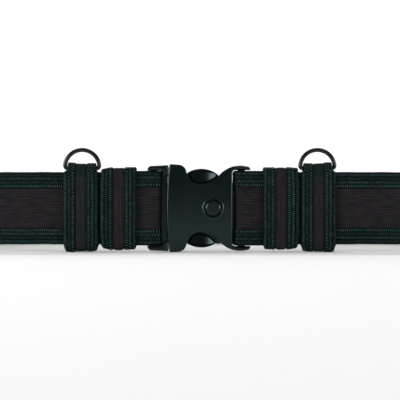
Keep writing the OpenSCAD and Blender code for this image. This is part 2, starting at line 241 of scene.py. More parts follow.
# A binding's ribs slant one way and the other, column by column, from each of its edges
RIB_PITCH = 1.5
RIB_COLUMN = 2.6
RIB_SLANT = 0.55
RIB_RELIEF = 0.26
RIB_LEVEL = 0.55  # the height of rib that leaves the tape's skin where it is


def ribs(s, v, span):
    """Height of a herringbone tape's ribs, 0 to 1, at s along it and v across it."""
    v = np.minimum(v, span - v)
    index = np.floor(v / RIB_COLUMN)
    f = v / RIB_COLUMN - index
    slant = np.where(index < 1, 0.0, np.where(index % 2 < 1, RIB_SLANT, -RIB_SLANT))
    wave = np.cos(2 * math.pi * ((s + slant * (f - 0.5) * RIB_COLUMN) / RIB_PITCH + 0.5 * (index % 2)))
    return (0.5 + 0.5 * wave) ** 1.1 * np.sin(math.pi * np.clip(f, 0.03, 0.97)) ** 0.25


def tape(name, run, across, edge, size, step, narrow=None):
    """A binding tape folded over an edge, with its ribs. edge is the edge's place along across, by row."""
    s = run[2]
    section, round_, lengths = folded_tape(*size, step)
    outward = right_of(section, closed=True)
    outward *= np.sign(outward[:4, 0].sum())
    outer = round_ >= 0
    span = round_.max()
    gs, gv = np.meshgrid(s, round_[outer], indexing="ij")
    height = np.full((len(s), len(section)), 0.3)
    height[:, outer] = ribs(gs, gv, span)
    fade = np.clip(np.minimum(gv, span - gv) / 0.6, 0.1, 1)
    push = np.zeros_like(height)
    push[:, outer] = RIB_RELIEF * (height[:, outer] - RIB_LEVEL) * fade
    narrow = np.ones(len(s)) if narrow is None else narrow
    out = section[:, 0] + push * outward[:, 0]
    along = edge[:, None] + section[:, 1] * narrow[:, None] + push * outward[:, 1]
    # The ribs' height is kept as the mesh's relief, which the tape's colour uses to paint shade between the
    # ribs and highlight on their crests.
    return sweep(name, run, across, out, along, lengths, height, materials["tape"])


def layer(name, run, across, lo, hi, half, fine, material, shape=None, scale=None, step=0.9):
    """A flat layer of cloth along a run. scale stretches its width row by row; shape gives its relief."""
    s = run[2]
    section, lengths = flat_layer(lo, hi, half, fine, step)
    scale = np.ones(len(s)) if scale is None else scale
    along = section[:, 1] * scale[:, None]
    face = np.sign(section[:, 0] - (lo + hi) / 2)
    gs, gb = np.meshgrid(s, section[:, 1], indexing="ij")
    push = shape(gs, gb, face) if shape else np.zeros_like(gs)
    return sweep(name, run, across, section[:, 0] + push * face, along, lengths, np.zeros_like(gs), material)


# A stitch is a bead: five rings of six points, each a share of its length and of its width
BEAD = ((-0.5, 0.35), (-0.3, 0.9), (0.0, 1.0), (0.3, 0.9), (0.5, 0.35))
# Length, width and height of a stitch
STRAP_STITCH = (1.7, 0.42, 0.34)
KEEPER_STITCH = (1.5, 0.36, 0.30)


def stitches(name, places, directions, outs, size):
    """A row of sewn stitches: one low bead of thread at each place."""
    length, width, height = size
    turn = circle(6)
    ring = np.arange(len(turn))
    count = len(BEAD) * len(turn)
    faces = lattice(len(BEAD), len(turn), False)[0]
    points, quads, caps = [], [], []
    for k, (place, way, out, aside) in enumerate(zip(places, directions, outs, np.cross(directions, outs))):
        for t, r in BEAD:
            for a in turn:
                flat, high = math.cos(a) * r * width / 2, math.sin(a) * r * height / 2
                points.append(place + way * t * length + aside * flat + out * high)
        quads.append(faces + k * count)
        caps += [k * count + ring, (k + 1) * count - len(turn) + ring[::-1]]
    return make(name, points, np.concatenate(quads), caps, material=materials["thread"])


# --- Solids drawn as distance fields ---


def outline_distance(points, x, z):
    """Distance to a closed outline, negative inside, over a grid of x and z."""
    points = np.asarray(points, float)
    gx, gz = np.meshgrid(x.ravel(), z.ravel(), indexing="ij")
    best = np.full(gx.shape, 1e18)
    inside = np.zeros(gx.shape, bool)
    for (ax, az), (bx, bz) in zip(points, np.roll(points, -1, 0)):
        dx, dz = bx - ax, bz - az
        size = dx * dx + dz * dz
        if size < 1e-12:
            continue
        t = np.clip(((gx - ax) * dx + (gz - az) * dz) / size, 0, 1)
        best = np.minimum(best, (gx - ax - t * dx) ** 2 + (gz - az - t * dz) ** 2)
        crosses = (az > gz) != (bz > gz)
        inside ^= crosses & (gx < ax + (gz - az) * dx / (dz if dz else 1e-9))
    return (np.where(inside, -1.0, 1.0) * np.sqrt(best))[:, None, :]


def plate(flat, low, high, u, r):
    """A flat shape between two depths, with its edges rounded by r."""
    a = flat + r
    b = np.maximum(low - u, u - high) + r
    return np.minimum(np.maximum(a, b), 0) + np.hypot(np.maximum(a, 0), np.maximum(b, 0)) - r


def join(a, b, r):
    """Union with a fillet of about r."""
    h = np.clip(0.5 + 0.5 * (b - a) / r, 0, 1)
    return b + (a - b) * h - r * h * (1 - h)


def carve(a, b, r):
    """a without b, with the rim rounded by about r."""
    return -join(-a, b, r)


def between(grid, at):
    """The grid's value at places between its points."""
    low = np.minimum(at.astype(np.int64), np.array(grid.shape) - 2)
    f = at - low
    total = 0
    for corner in np.ndindex(2, 2, 2):
        share = np.prod(np.where(corner, f, 1 - f), axis=1)
        total = total + share * grid[tuple((low + corner).T)]
    return total


def skin(name, field, origin, step, material):
    """Mesh of a distance field's surface, one vertex in each cell that the surface crosses."""
    inside = field < 0
    cells = np.array(field.shape) - 1
    total = np.zeros((3, *cells), np.float32)
    count = np.zeros(cells, np.int8)
    for axis in range(3):
        first = np.moveaxis(field, axis, 0)
        flag = np.moveaxis(inside, axis, 0)
        crossed = flag[:-1] != flag[1:]
        t = np.where(crossed, first[:-1] / np.where(crossed, first[:-1] - first[1:], 1), 0).astype(np.float32)
        crossed, t = np.moveaxis(crossed, 0, axis), np.moveaxis(t, 0, axis)
        others = [k for k in range(3) if k != axis]
        for ends in np.ndindex(2, 2):
            pick = [slice(None)] * 3
            for other, end in zip(others, ends):
                pick[other] = slice(end, end + cells[other])
            hit = crossed[tuple(pick)]
            total[axis] += t[tuple(pick)]
            for other, end in zip(others, ends):
                total[other] += hit * end
            count += hit
    used = count > 0
    number = np.full(cells, -1, np.int64)
    number[used] = np.arange(used.sum())
    where = np.argwhere(used)
    at = where + np.stack([total[k][used] / count[used] for k in range(3)], -1)
    slopes = np.gradient(field)
    for _ in range(3):
        slope = np.stack([between(g, at) for g in slopes], -1)
        move = between(field, at)[:, None] * slope / np.maximum((slope ** 2).sum(1), 1e-6 * step)[:, None]
        at = np.clip(at - np.clip(move, -0.5, 0.5), where - 0.3, where + 1.3)
        at = np.clip(at, 0, cells - 1e-3)
    normals = np.stack([between(g, at) for g in slopes], -1)
    normals /= np.maximum(np.linalg.norm(normals, axis=1), 1e-9)[:, None]
    points = np.array(origin) + step * at
    quads = []
    for axis in range(3):
        flag = np.moveaxis(inside, axis, 0)
        ids = np.moveaxis(number, axis, 0)
        a, b = flag[:-1, 1:-1, 1:-1], flag[1:, 1:-1, 1:-1]
        for grow in (True, False):
            i, j, k = np.nonzero((a & ~b) if grow else (~a & b))
            ring = [ids[i, j, k], ids[i, j + 1, k], ids[i, j + 1, k + 1], ids[i, j, k + 1]]
            if (axis == 1) == grow:
                ring = ring[::-1]
            quads.append(np.stack(ring, -1))
    return make(name, points, np.concatenate(quads), material=material, normals=normals)


def space(x0, x1, u0, u1, z0, z1, step):
    """A grid of places about the buckle's middle, along the belt, back and up, and its corner in space."""
    x, u, z = (np.arange(a, b + step, step) for a, b in ((x0, x1), (u0, u1), (z0, z1)))
    return x[:, None, None], u[None, :, None], z[None, None, :], (x0, FRONT_Y + MID_U + u0, FRONT_Z + z0)


# --- Materials ---


def shader(name, roughness, specular, sheen=0.0, tint=(1.0, 1.0, 1.0)):
    """A new material, as the functions that build its nodes. Noise scales are per metre."""
    made = bpy.data.materials.new(name)
    made.use_nodes = True
    tree = made.node_tree
    bsdf = tree.nodes["Principled BSDF"]
    surface = {"Roughness": roughness, "Specular IOR Level": specular, "Specular Tint": (*tint, 1.0),
               "Sheen Weight": sheen, "Sheen Roughness": 0.4}
    for socket, value in surface.items():
        bsdf.inputs[socket].default_value = value

    def node(kind, values=(), **settings):
        n = tree.nodes.new(kind)
        for key, value in settings.items():
            setattr(n, key, value)
        for socket, value in dict(values).items():
            if isinstance(value, bpy.types.NodeSocket):
                tree.links.new(value, n.inputs[socket])
            else:
                n.inputs[socket].default_value = value
        return n

    def mix(a, b, factor):
        n = node("ShaderNodeMix", {0: factor, 6: a, 7: b}, data_type="RGBA")
        return n.outputs[2]

    def maths(operation, a, b=0.0):
        return node("ShaderNodeMath", {0: a, 1: b}, operation=operation).outputs[0]

    place = node("ShaderNodeTexCoord").outputs["Object"]

    def noise(scale, detail, vector=place):
        settings = {"Vector": vector, "Scale": scale, "Detail": detail, "Roughness": 0.55}
        return node("ShaderNodeTexNoise", settings).outputs[0]

    def times(a, b):
        return maths("MULTIPLY", a, b)

    def plus(a, b):
        return maths("ADD", a, b)

    def spread(value, low, high):
        """Noise, which is mostly 0.3 to 0.7, stretched to run from low to high."""
        return plus(times(maths("SUBTRACT", value, 0.3), (high - low) / 0.4), low)

    def finish(colour, height, distance, strength, roughness_from=None):
        tree.links.new(colour, bsdf.inputs["Base Color"])
        bump = node("ShaderNodeBump", {"Height": height, "Distance": distance, "Strength": strength})
        tree.links.new(bump.outputs[0], bsdf.inputs["Normal"])
        if roughness_from is not None:
            tree.links.new(roughness_from, bsdf.inputs["Roughness"])
        return made

    return SimpleNamespace(node=node, place=place, mix=mix, maths=maths, times=times, plus=plus, noise=noise,
                           spread=spread, finish=finish)


def rgba(colour, share=1.0):
    """A share of a colour, as a socket takes it."""
    return (*(c * share for c in colour), 1.0)


def tape_material():
    """Nylon tape, with painted shade between its ribs and a painted highlight, lighter towards their crests.
    """
    m = shader("nylon_tape", 0.5, 0.06, tint=(0.6, 1.0, 1.0))
    # hollow is the painted shade between the ribs; dull and bright are the painted highlight on their crests,
    # in patches.
    hollow, dull, bright = (0.0006, 0.0012, 0.0014), (0.020, 0.058, 0.059), (0.115, 0.225, 0.218)
    cloth = m.node("ShaderNodeUVMap", uv_map="cloth").outputs[0]
    relief = m.node("ShaderNodeAttribute", attribute_name="relief").outputs["Fac"]
    patch = m.noise(420, 2)
    drawn = m.node("ShaderNodeVectorMath", {0: cloth, 1: (0.9, 7.0, 1.0)}, operation="MULTIPLY").outputs[0]
    thread = m.noise(1.6, 2, drawn)
    painted_crest_highlight = m.mix(rgba(dull), rgba(bright), m.spread(patch, 0.0, 1.0))
    # The ribs' relief runs from painted shade in their hollows to painted highlight at their crests.
    colour = m.mix(rgba(hollow), painted_crest_highlight, m.maths("POWER", relief, 5.6))
    height = m.plus(m.times(thread, 0.6), m.times(m.noise(5200, 2), 0.4))
    return m.finish(colour, height, 0.00006, 0.8, m.spread(patch, 0.44, 0.62))


def cloth_material(name, dark, light, pitch, roughness, nap=False):
    """Plain woven cloth, with lines and streaks along it and painted shade between its threads. nap gives it
    a brushed face.
    """
    m = shader(name, roughness, 0.04, sheen=0.12 if nap else 0.0)
    bound = (0.0065, 0.0115, 0.0125)  # where the cloth is tinted as tape
    cloth = m.node("ShaderNodeSeparateXYZ", {0: m.node("ShaderNodeUVMap", uv_map="cloth").outputs[0]})
    s, v = cloth.outputs[0], cloth.outputs[1]
    relief = m.node("ShaderNodeAttribute", attribute_name="relief").outputs["Fac"]

    def wave(value, length):
        return m.maths("SINE", m.times(value, 2 * math.pi / length))

    weave = m.plus(m.times(m.times(wave(s, pitch), wave(v, pitch)), 0.5), 0.5)
    lines = m.plus(m.times(wave(v, 1.9), 0.25), 0.5)
    patch = m.noise(150, 4)
    fine = m.noise(1900, 3)
    drawn = m.node("ShaderNodeCombineXYZ", {0: m.times(s, 0.11), 1: m.times(v, 0.95)})
    streak = m.spread(m.noise(1.0, 3, drawn.outputs[0]), -0.15, 0.95)
    base = m.mix(rgba(dark), rgba(light), m.spread(patch, 0.0, 1.0))
    # Painted shade in the weave's hollows: darker where the threads dip.
    woven = m.mix(base, rgba(dark, 0.45), m.times(m.maths("SUBTRACT", 1.0, weave), 0.55))
    lit = m.mix(woven, rgba(light, 1.9), m.times(lines, streak))
    streaked = m.mix(lit, rgba(dark, 0.55), m.spread(fine, -0.2, 0.5))
    colour = m.mix(streaked, rgba(bound), relief)
    if nap:
        height = m.plus(m.times(fine, 0.8), m.times(m.noise(5200, 2), 0.5))
        return m.finish(colour, height, 0.00022, 1.0, m.spread(fine, roughness - 0.05, roughness + 0.1))
    height = m.plus(m.times(weave, 0.8), m.times(fine, 0.4))
    return m.finish(colour, height, 0.00007, 0.9, m.spread(fine, roughness - 0.08, roughness + 0.1))


def plastic_material():
    """Black moulded plastic, with a painted highlight that makes it paler along its sharper edges."""
    m = shader("moulded_plastic", 0.26, 0.33, tint=(0.66, 0.98, 1.01))
    dark, light, edge_highlight = (0.0018, 0.0033, 0.0037), (0.0030, 0.0049, 0.0054), (0.030, 0.040, 0.042)
    patch, grain = m.noise(45, 3), m.noise(3400, 3)
    colour = m.mix(rgba(dark), rgba(light), m.spread(patch, 0.0, 1.0))
    # Painted highlight: the sharper edges, found by their pointiness, are painted a paler blue-grey.
    edges = m.node("ShaderNodeNewGeometry").outputs["Pointiness"]
    edge_highlight_mask = m.node("ShaderNodeMapRange", {0: edges, 1: 0.54, 2: 0.64, 3: 0.0, 4: 0.4}).outputs[0]
    rough = m.plus(m.times(grain, 0.08), m.times(patch, 0.14))
    return m.finish(m.mix(colour, rgba(edge_highlight), edge_highlight_mask), grain, 0.00003, 0.5, m.plus(rough, 0.11))


def wire_material():
    """Smooth black enamel on steel wire."""
    m = shader("black_wire", 0.11, 0.4)
    dark, light = (0.0018, 0.0021, 0.0026), (0.0045, 0.0050, 0.0056)
    patch, grain = m.noise(130, 3), m.noise(2600, 2)
    colour = m.mix(rgba(dark), rgba(light), m.spread(patch, 0.0, 1.0))
    height = m.plus(patch, m.times(grain, 0.2))
    return m.finish(colour, height, 0.00003, 0.3, m.spread(patch, 0.08, 0.14))


def pile_material(name, colour, scale):
    """The hooks or loops of a fastening tape, as small cells with painted shade between them."""
    m = shader(name, 0.7, 0.2, sheen=0.1)
    cells = m.node("ShaderNodeTexVoronoi", {"Vector": m.place, "Scale": scale}).outputs["Distance"]
    patch = m.noise(300, 3)
    # Painted shade: darker away from each hook's middle, where the pile dips.
    tone = m.mix(rgba(colour), rgba(colour, 0.3), cells)
    tone = m.mix(tone, rgba(colour, 1.8), m.times(patch, 0.4))
    height = m.plus(m.times(cells, -1.0), patch)
    return m.finish(tone, height, 0.00030, 1.0, m.spread(patch, 0.6, 0.8))


materials = {
    "tape": tape_material(),
    "cloth": cloth_material("woven_cloth", (0.0082, 0.0079, 0.0088), (0.0175, 0.0155, 0.0172),
                            pitch=0.62, roughness=0.62),
    "lining": cloth_material("napped_lining", (0.0095, 0.0098, 0.0105), (0.0145, 0.0145, 0.0155),
                             pitch=1.1, roughness=0.8, nap=True),
    "core": cloth_material("stiff_core", (0.014, 0.014, 0.014), (0.022, 0.022, 0.022),
                           pitch=1.6, roughness=0.7),
    "hook": pile_material("hook_tape", (0.016, 0.017, 0.018), 1500),
    "loop": pile_material("loop_tape", (0.012, 0.013, 0.014), 1100),
    "thread": cloth_material("sewing_thread", (0.010, 0.014, 0.015), (0.020, 0.027, 0.028),
                             pitch=0.5, roughness=0.5),
    "plastic": plastic_material(),
    "wire": wire_material(),
}


def settle(piece, slot, body=None, node=None, blended=None):
    """Says what a piece moves with and, where it stands for one, which node; slot, the finish it would take,
    is not used.
    """
    if blended:
        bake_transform(piece)
    else:
        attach(piece, body)
    if node:
        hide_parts(node)


# --- The strap ---


def fold_run(side):
    """From the tail's end round the buckle's bar to where the front runs straight."""
    x0 = FOLD_X[side]
    t = np.linspace(0, 1, 15)
    turn = np.radians(np.linspace(90, 270, 25))[1:-1]
    lift = (FOLD_R - MID_U) * smooth(t)
    points = [(x, TAIL_U) for x in np.arange(TAIL_END, x0 + SPLAY, -1.0)]
    points += zip(x0 + SPLAY * (1 - t), TAIL_U + lift)
    points += zip(x0 + FOLD_R * np.cos(turn), MID_U + FOLD_R * np.sin(turn))
    points += zip(x0 + SPLAY * t, MID_U - FOLD_R + lift)
    return [(x, y, 0.0) for x, y in points]


def bend_run(steps=290):
    """An end bend from the front to the back, which turns most tightly at its middle."""
    t = np.linspace(0, 1, steps + 1)
    angle = math.pi * (t - GATHER * np.sin(2 * math.pi * t) / (2 * math.pi))
    middle = (angle[1:] + angle[:-1]) / 2
    x = np.concatenate([[0], np.cumsum(np.cos(middle))]) * BEND_LEN / steps
    y = np.concatenate([[0], np.cumsum(np.sin(middle))])
    return list(zip(FLAT + x - x[-1] * t, y * DEPTH / y[-1], (BACK_Z - FRONT_Z) * smooth(t)))


SPREAD, SPREAD_END = 0.034, 54  # beside the buckle the strap is this share taller, up to this far out


def in_space(side, line_, step, seed, s0, stretch):
    """A line of the strap as a run in space, a little wavy, and how tall the strap is, row by row."""
    flat, s = resample(line_, step)
    out = right_of(flat)
    drift = wander(s + s0, seed, 0.10, 55.0) * smooth(np.minimum(s, s[-1] - s) / 8)
    tall = 1 + SPREAD * smooth((SPREAD_END - flat[:, 0]) / 8) * (flat[:, 1] < DEPTH / 2)
    path = np.stack([side * flat[:, 0], FRONT_Y + flat[:, 1], FRONT_Z + flat[:, 2]], -1)
    normal = np.stack([side * out[:, 0], out[:, 1], np.zeros(len(s))], -1)
    return (path + normal * drift[:, None], normal, s0 + s * stretch, False), tall


def face_shape(s, b, face):
    """A slight swell along the middle, and unevenness."""
    return 0.10 * np.clip(1 - (b / 13.5) ** 2, 0, 1) + 0.05 * wander(s, 3, 1, 19) * np.cos(b / 9)


def lining_shape(s, b, face):
    return 0.05 * wander(s, 5, 1, 13) * np.cos(b / 5)


STITCH_U, STITCH_IN = 1.75, 1.3  # the stitches' depth, and how far inside the tapes' edges they run
TAPE_STEP = 0.3
# Each layer's depths, how far from its middle it is finely divided, its material, slot and shape
STRAP_LAYERS = {
    "face": (CLOTH_IN, CLOTH_OUT, 14.2, "cloth", "webbing", face_shape),
    "core": (-CORE_HALF, CORE_HALF, 2, "core", "core", None),
    "lining": (-CLOTH_OUT, -CLOTH_IN, 14.2, "lining", "lining", lining_shape),
}


def edge_line(tall, s, seed):
    return HALF * tall + wander(s, seed, 0.10, 27.0) - 0.10


def strap_stitches(nodes, run, tall, seed):
    """Four rows of stitches, two on each face, which hold the bindings."""
    path, normal, s, closed = run
    tangent = unit(np.gradient(path, axis=0))
    places, ways, outs = [], [], []
    for sign in EDGES.values():
        edge = edge_line(tall, s, seed + sign)
        rise = np.array([0, 0, sign]) * (edge - STRAP_TAPE[0] + STITCH_IN)[:, None]
        for face in (1, -1):
            at = path + normal * face * STITCH_U + rise
            places += list(at[1:-1])
            ways += list(tangent[1:-1])
            outs += list(normal[1:-1] * face)
    return stitches(f"{nodes}_stitches", places, ways, outs, STRAP_STITCH)


def strap(nodes, side, line_, seed, s0, stretch=1.0, **moves):
    """The five layers of one stretch of strap, and its stitching."""
    run, tall = in_space(side, line_, TAPE_STEP, seed, s0, stretch)
    for which, sign in EDGES.items():
        node = f"{nodes}_binding_{which}"
        edge = edge_line(tall, run[2], seed + sign)
        piece = tape(f"{node}_tape", run, (0, 0, sign), edge, STRAP_TAPE, 0.62)
        settle(piece, "binding", node=node, **moves)
    run, tall = in_space(side, line_, 1.0, seed, s0, stretch)
    for which, (lo, hi, fine, kind, slot, shape) in STRAP_LAYERS.items():
        node = f"{nodes}_{which}"
        piece = layer(f"{node}_cloth", run, (0, 0, 1), lo, hi, CLOTH_HALF, fine, materials[kind], shape, tall)
        settle(piece, slot, node=node, **moves)
    run, tall = in_space(side, line_, 2.9, seed, s0, stretch)
    settle(strap_stitches(nodes, run, tall, seed), "binding", **moves)


# The left half and the bend are one cloth, and the bend's ribs are stretched to meet the right half's
right_line = fold_run(1) + bend_run() + [(0.05 - FLAT, DEPTH, BACK_Z - FRONT_Z)]
left_line = fold_run(-1) + [(FLAT - 0.02, 0.0, 0.0)]
bend_line = bend_run()
right_len, left_len, bend_len = (resample(r, TAPE_STEP)[1][-1] for r in (right_line, left_line, bend_line))
short = (-right_len % RIB_PITCH - (left_len + bend_len)) % RIB_PITCH
bend_ends = [(-0.12, y * MM, 0.03) for y in (BACK_Y, FRONT_Y)]
strap("strap", 1, right_line, 11, 0.0, body="belt")
strap("left_strap", -1, left_line, 21, 0.0, body="left_end")
strap("bend", -1, bend_line, 21, left_len, 1 + short / bend_len, blended=("belt", "left_end", *bend_ends))


def soft_block(name, lo, hi, material, cell, swell, seed):
    """A small pad with rounded edges and an uneven skin, between two corners."""
    lo, hi = np.array(lo, float), np.array(hi, float)
    size = hi - lo
    counts = np.maximum(2, np.ceil(size / cell).astype(int))
    faces, index = [], {}
    for axis in range(3):
        a, b = [k for k in range(3) if k != axis]
        for end in (0, counts[axis]):
            for i in range(counts[a]):
                for j in range(counts[b]):
                    ring = []
                    for da, db in CORNERS:
                        key = [0, 0, 0]
                        key[axis], key[a], key[b] = end, i + da, j + db
                        ring.append(index.setdefault(tuple(key), len(index)))
                    faces.append(ring if (end > 0) == (axis != 1) else ring[::-1])
    points = lo + size * np.array(list(index)) / counts
    middle = (lo + hi) / 2
    reach = (points - middle) / (size / 2)
    edge = np.sort(np.abs(reach), axis=1)
    pull = smooth((edge[:, 1] - 0.9) / 0.1) * 0.25 + smooth((edge[:, 0] - 0.9) / 0.1) * 0.15
    bumps = np.random.default_rng(seed).uniform(-0.5, 0.5, len(points))
    thin = np.argmin(size)
    points -= (points - middle) / np.linalg.norm(points - middle, axis=1)[:, None] * pull[:, None]
    points[:, thin] += np.sign(reach[:, thin]) * bumps * swell * (np.abs(reach[:, thin]) > 0.99)
    return make(name, points, faces, material=material, sharp=80)


for side, body, node in ((-1, "left_end", "hook_patch_left"), (1, "belt", "hook_patch_right")):
    patch = soft_block(f"{node}_pile", *box(node), materials["hook"], cell=0.8, swell=0.12, seed=4 + side)
    settle(patch, "hook", body, node)


# --- Keepers ---

IN_U, OUT_U = -2.15, 5.8  # a keeper's front and back walls, inside
KEEPER_TAPE_W, KEEPER_TAPE_T = 8.1, 0.55
BAND_HALF, BAND_CLOTH_HALF = 0.5, 0.48
BAND = BAND_HALF + KEEPER_TAPE_T  # from a keeper's inner wall to the middle of its band
KEEPER_TAPE = (KEEPER_TAPE_W, BAND_HALF, BAND)
BAND_IN = 0.75  # the band's cloth ends this far inside the tapes' edges
KEEPER_CORNER = 2.3
RING_ROOM = 1.575  # radius of the tunnel that a D-ring's bar lies in
NOTCH = 10.0  # beside a D-ring's corners, its keeper reaches this far from the ring's middle
SEAM_IN = 1.2  # the stitches run this far inside the tapes' edges


def keeper_facts(k):
    """A keeper's names, and its edges, middle and tapes as distances from the belt's middle."""
    ringed = k in (1, 4)
    near, wide = (70.9, 24.1) if ringed else (44.4, 24.4)
    far = near + wide
    return SimpleNamespace(
        k=k, name=f"keeper_{k}", flap=f"flap_{k}", side=-1 if k < 3 else 1, ringed=ringed,
        near=near, far=far, wide=wide, centre=near + wide / 2, half=wide / 2 - BAND_IN,
        feet=(near + KEEPER_TAPE_W, far - KEEPER_TAPE_W))


def hull(points):
    """The convex outline of a set of flat points."""
    points = sorted(map(tuple, points))

    def half(seq):
        out = []
        for p in seq:
            while len(out) > 1 and ((out[-1][0] - out[-2][0]) * (p[1] - out[-2][1])
                                    - (out[-1][1] - out[-2][1]) * (p[0] - out[-2][0])) <= 0:
                out.pop()
            out.append(p)
        return out[:-1]

    return np.array(half(points) + half(points[::-1]))


def keeper_path(keeper, step):
    """The middle of a keeper's band in depth and height, from the middle of its back, and outward from it."""
    foot, head = (28.1, 25.7) if keeper.ringed else (26.4, 26.4)
    r = KEEPER_CORNER
    disc = np.stack([np.cos(circle(48)), np.sin(circle(48))], -1)
    walls, ends = (IN_U - BAND + r, OUT_U + BAND - r), (-foot - BAND + r, head + BAND - r)
    cloud = np.concatenate([np.array((u, z)) + r * disc for u in walls for z in ends])
    if keeper.ringed:
        cloud = np.concatenate([cloud, np.array([MID_U, RING_BAR]) + (RING_ROOM + BAND) * disc])
    dense, _ = resample(hull(cloud), 0.1, closed=True)
    kernel = np.hanning(25)
    kernel /= kernel.sum()
    dense = np.vstack([dense[-12:], dense, dense[:12]])
    dense = np.stack([np.convolve(c, kernel, "valid") for c in dense.T], -1)
    start = np.argmin(np.abs(dense[:, 1]) + 100 * (dense[:, 0] < MID_U))
    path, s = resample(np.roll(dense, -start, axis=0), step, closed=True)
    s = s * (round(s[-1] / RIB_PITCH) * RIB_PITCH / (s[-1] + s[1]))
    out = right_of(path, closed=True)
    bow = 0.08 * np.cos(path[:, 1] / 9 + keeper.k) * smooth((26 - np.abs(path[:, 1])) / 6)
    rough = wander(s + 31 * keeper.k, 40 + keeper.k, 0.16, 14.0) * smooth((np.abs(path[:, 1]) - 22) / 3)
    path = path + out * (np.where(path[:, 0] < MID_U, bow, 0) + rough)[:, None]
    return path, out, s


def keeper_edges(keeper, heights, s):
    """Both edges' distance from the belt's middle, by row. Beside a D-ring's corners they draw in."""
    inner = keeper.near + wander(s, 60 + keeper.k, 0.13, 31.0)
    outer = keeper.far + wander(s, 70 + keeper.k, 0.13, 26.0)
    foot = 1.1 * smooth((-heights - 25.0) / 4.0)
    if not keeper.ringed:
        return inner + foot, outer + 0.65 * smooth((22 - np.abs(heights)) / 4) - foot
    beside = smooth((heights - 24.5) / 1.6)
    inner = (inner + foot) * (1 - beside) + (RING_X - NOTCH) * beside
    outer = (outer - foot) * (1 - beside) + (RING_X + NOTCH) * beside
    return inner, outer


# How much higher each keeper's top stands, and how much lower its foot hangs, from left to right
TOPS = {1: (0.8, 0.7, 0.2, 0.3, 0.2), 2: (-1.2, 0.1, 0.0, 0.2, 0.3),
        3: (0.1, 0.1, 0.3, 0.2, -0.4), 4: (0.3, 0.2, 0.3, 0.9, 0.8)}
FEET = {1: (0.3, 0.4, 0.0, 0.2, -0.4), 2: (-0.9, 0.7, 0.9, 0.6, 0.3),
        3: (0.1, 0.5, 0.6, 0.4, -0.7), 4: (-0.4, 0.2, 0.0, 0.4, 0.2)}


def ruffle(piece, keeper):
    """Lets a keeper's top and foot wander as well-used cloth does."""
    left = -keeper.far if keeper.side < 0 else keeper.near
    flat = np.empty(len(piece.data.vertices) * 3, np.float32)
    piece.data.vertices.foreach_get("co", flat)
    co = flat.reshape(-1, 3)
    across, z = (co[:, 0] / MM - left) / keeper.wide, co[:, 2] / MM - FRONT_Z
    marks = np.linspace(0, 1, 5)
    rise = np.interp(across, marks, TOPS[keeper.k]) * smooth((z - 22) / 7)
    rise = rise - np.interp(across, marks, FEET[keeper.k]) * smooth((-z - 22) / 7)
    co[:, 2] += (rise * MM).astype(np.float32)
    piece.data.vertices.foreach_set("co", co.ravel())
    piece.data.update()


def in_row(path, out, s, closed):
    """A line in depth and height, as a run in space at the belt's middle."""
    zero = np.zeros(len(path))
    points = np.stack([zero, FRONT_Y + path[:, 0], FRONT_Z + path[:, 1]], -1)
    return points, np.stack([zero, out[:, 0], out[:, 1]], -1), s, closed


def keeper_run(keeper, step):
    """A keeper's band as a run in space, its heights, and its two edges."""
    path, out, s = keeper_path(keeper, step)
    return in_row(path, out, s, True), path[:, 1], *keeper_edges(keeper, path[:, 1], s)


def keeper_bindings(keeper):
    run, heights, inner, outer = keeper_run(keeper, 0.28)
    tapes = (("inner", -keeper.side, -inner, keeper.feet[0]), ("outer", keeper.side, outer, keeper.feet[1]))
    for which, sign, edge, foot in tapes:
        node = f"{keeper.name}_binding_{which}"
        narrow = np.abs(np.abs(edge) - foot) / KEEPER_TAPE_W
        piece = tape(f"{node}_tape", run, (sign, 0, 0), edge, KEEPER_TAPE, 0.5, narrow)
        ruffle(piece, keeper)
        settle(piece, "binding", keeper.name, node)


def keeper_band(keeper):
    """The band's cloth, which swells between its bindings and is drawn in along their seams."""
    run, heights, inner, outer = keeper_run(keeper, 0.7)
    points, normal, s, closed = run
    section, lengths = flat_layer(-BAND_CLOTH_HALF, BAND_CLOTH_HALF, keeper.half, 4.3, 0.22)
    b = section[:, 1]
    outer_share = ((outer - keeper.centre - BAND_IN) / keeper.half)[:, None]
    inner_share = ((keeper.centre - inner - BAND_IN) / keeper.half)[:, None]
    share = np.where(np.abs(b) < 4.3, 1.0, np.where(b > 0, outer_share, inner_share))
    face = np.sign(section[:, 0])
    full = 0.30 + 0.40 * smooth((-heights - 24.5) / 2.5)
    pillow = full[:, None] * np.clip(1 - (b / 3.9) ** 4, 0, 1)
    uneven = 0.05 * wander(s, 80 + keeper.k, 1, 9)[:, None] * (np.abs(b) < 3.6)
    seam = -0.34 * np.exp(-(((np.abs(b) - 3.45) / 0.28) ** 2))
    push = (pillow + uneven + seam) * (face > 0)
    along = keeper.centre + b * share
    head = smooth((heights - 21.6) / 0.7) if keeper.ringed else np.zeros(len(s))
    tint = head[:, None] * (face > 0)
    band = sweep(f"{keeper.name}_band_cloth", run, (keeper.side, 0, 0), section[:, 0] + push * face, along,
                 lengths, tint, materials["cloth"])
    ruffle(band, keeper)
    settle(band, "webbing", keeper.name, f"{keeper.name}_band")


def keeper_seams(name, keeper, points, normal, way):
    """Two rows of stitches, along the inner edges of a keeper's tapes."""
    rows = [points + normal * (BAND + 0.02) + np.array((keeper.side * x, 0, 0))
            for x in (keeper.feet[0] - SEAM_IN, keeper.feet[1] + SEAM_IN)]
    ways, outs = np.concatenate([way] * 2), np.concatenate([normal] * 2)
    return stitches(name, np.concatenate(rows), ways, outs, KEEPER_STITCH)


def keeper_stitches(keeper):
    points, normal, s, closed = keeper_run(keeper, 2.6)[0]
    piece = keeper_seams(f"{keeper.name}_stitches", keeper, points, normal, round_tangent(points))
    ruffle(piece, keeper)
    settle(piece, "binding", keeper.name)


